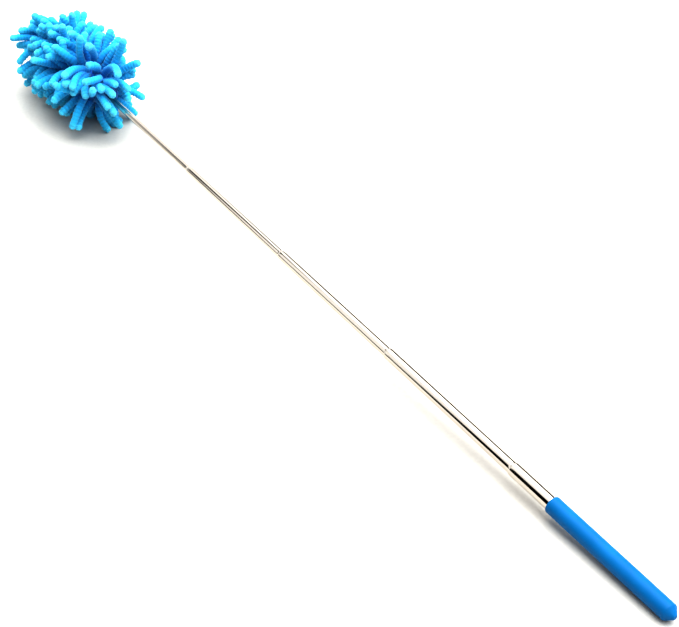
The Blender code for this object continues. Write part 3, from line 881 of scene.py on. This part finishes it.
def make_table():
    """A square of laminate, a fifth of a millimetre below the grip so that nothing lies in its plane."""
    material, tree, shader = new_material("white_laminate", Roughness=0.55, Specular_IOR_Level=0.3)
    place = add_node(tree, "TexCoord").outputs["Object"]
    grain = add_node(tree, "TexNoise", Vector=place, Scale=400.0, Detail=2.0)
    tint = ramp(tree, grain.outputs[0], (0.3, srgb("#BFBDB8")), (0.7, srgb("#C4C2BD")))
    tree.links.new(tint, shader.inputs["Base Color"])
    corners = [(TABLE_HALF * x, TABLE_HALF * y, 0) for x, y in ((-1, -1), (1, -1), (1, 1), (-1, 1))]
    mesh = bpy.data.meshes.new("table")
    mesh.from_pydata(corners, [], [(0, 1, 2, 3)])
    mesh.materials.append(material)
    table = bpy.data.objects.new("table", mesh)
    bpy.context.scene.collection.objects.link(table)
    table.location.z = TABLE_TOP


make_table()


# %% World
UP, HEADWARDS, NEAR_SIDE = (0, 0, 1), (1, 0, 0), (0, 1, 0)
SOFTBOX = (0.0, -0.32, 0.947)
DARK_ROOM = (-0.574, 0.791, 0.212)
SEAM = (-0.650, 0.618, 0.443)
WINDOW = (-0.79, -0.08, 0.61)
DIM, BRIGHT, WINDOW_LIGHT = 1.5, 7.0, 1.3


def make_world():
    """The softbox times the walls, the dark end and the seam, plus the window. 1 lets all of it through.

    A share is the cosine of the angle between a direction of the world and the part's own direction.
    """
    world = bpy.data.worlds.new("softbox_room")
    bpy.context.scene.world = world
    world.use_nodes = True
    tree = world.node_tree
    tree.nodes.clear()
    toward = add_node(tree, "TexCoord").outputs["Generated"]

    def part(direction, first, last, low, high):
        """Goes smoothly from low to high as the share of a direction goes from first to last."""
        share = add_node(tree, "VectorMath", {"operation": "DOT_PRODUCT"}, _0=toward, _1=direction)
        node = add_node(
            tree,
            "MapRange",
            {"interpolation_type": "SMOOTHSTEP"},
            Value=share.outputs["Value"],
            From_Min=first,
            From_Max=last,
            To_Min=low,
            To_Max=high,
        )
        return node.outputs[0]

    def join(operation, first, second):
        """The product, the sum or the larger of two values."""
        return add_node(tree, "Math", {"operation": operation}, _0=first, _1=second).outputs[0]

    light = part(SOFTBOX, 0.70, 0.90, DIM, BRIGHT)
    # The far wall is dark between a pale skirting and the ceiling, and the near wall is dark low down. Both
    # are bright at the end where the head points.
    far_wall = join("MAXIMUM", part(UP, 0.44, 0.58, 0.04, 1.0), part(HEADWARDS, 0.62, 0.72, 0.0, 1.0))
    far_wall = join("MAXIMUM", far_wall, part(UP, 0.04, 0.14, 1.0, 0.0))
    near_wall = join("MAXIMUM", part(UP, 0.14, 0.30, 0.02, 1.0), part(HEADWARDS, 0.60, 0.72, 0.0, 1.0))
    side = part(NEAR_SIDE, -0.1, 0.1, 0.0, 1.0)
    wall = add_node(tree, "Mix", _0=side, _2=far_wall, _3=near_wall).outputs[0]
    light = join("MULTIPLY", light, wall)
    # The dark end of the room, which stops below the ceiling.
    dark_room = join("MAXIMUM", part(DARK_ROOM, 0.31, 0.37, 1.0, 0.0), part(UP, 0.65, 0.85, 0.0, 1.0))
    light = join("MULTIPLY", light, dark_room)
    # The seam is a dark band square to SEAM. Only directions that point well headwards have it, which are
    # the ones that the tubes mirror, and it is fainter in the last of them.
    above_seam = part(SEAM, 0.05, 0.11, 0.0, 1.0)
    below_seam = part(SEAM, -0.11, -0.05, 1.0, 0.0)
    beside_seam = part(HEADWARDS, 0.60, 0.66, 1.0, 0.0)
    seam = join("MAXIMUM", join("MAXIMUM", above_seam, below_seam), beside_seam)
    light = join("MULTIPLY", light, join("MAXIMUM", seam, part(HEADWARDS, 0.69, 0.74, 0.02, 0.5)))
    light = join("ADD", light, part(WINDOW, 0.70, 0.90, 0.0, WINDOW_LIGHT))
    room = add_node(tree, "Background", Color=(1, 1, 1, 1), Strength=light)
    plain = add_node(tree, "Background", Color=(1, 1, 1, 1), Strength=1.0)
    path = add_node(tree, "LightPath")
    seen = path.outputs["Is Camera Ray"]
    mix = add_node(tree, "MixShader", _0=seen, _1=room.outputs[0], _2=plain.outputs[0])
    out = add_node(tree, "OutputWorld")
    tree.links.new(mix.outputs[0], out.inputs["Surface"])


make_world()

# %% Camera
camera_data = bpy.data.cameras.new("camera")
camera = bpy.data.objects.new("camera", camera_data)
bpy.context.scene.collection.objects.link(camera)
bpy.context.scene.camera = camera
LOOK_AZIMUTH, LOOK_DOWN = math.radians(-34.765), math.radians(37.0)
CAMERA_PLACE = (-0.737062, 0.465807, 0.629890)
LENS, SENSOR = 82.48, 36.0  # a short telephoto, in millimetres
GAMMA = 0.75  # below 1 the mid tones get darker, which gives the polished steel its hard contrast
camera.location = CAMERA_PLACE
looking = Vector(
    (
        math.cos(LOOK_AZIMUTH) * math.cos(LOOK_DOWN),
        math.sin(LOOK_AZIMUTH) * math.cos(LOOK_DOWN),
        -math.sin(LOOK_DOWN),
    )
)
camera.rotation_mode = "QUATERNION"
camera.rotation_quaternion = looking.to_track_quat("-Z", "Y")
camera_data.sensor_width = SENSOR
camera_data.lens = LENS
camera_data.clip_start, camera_data.clip_end = 0.02, 20.0
bpy.context.scene.view_settings.view_transform = "Standard"
bpy.context.scene.view_settings.look = "None"
bpy.context.scene.view_settings.gamma = GAMMA
print("camera", round(math.degrees(LOOK_DOWN)), "degrees above the table")
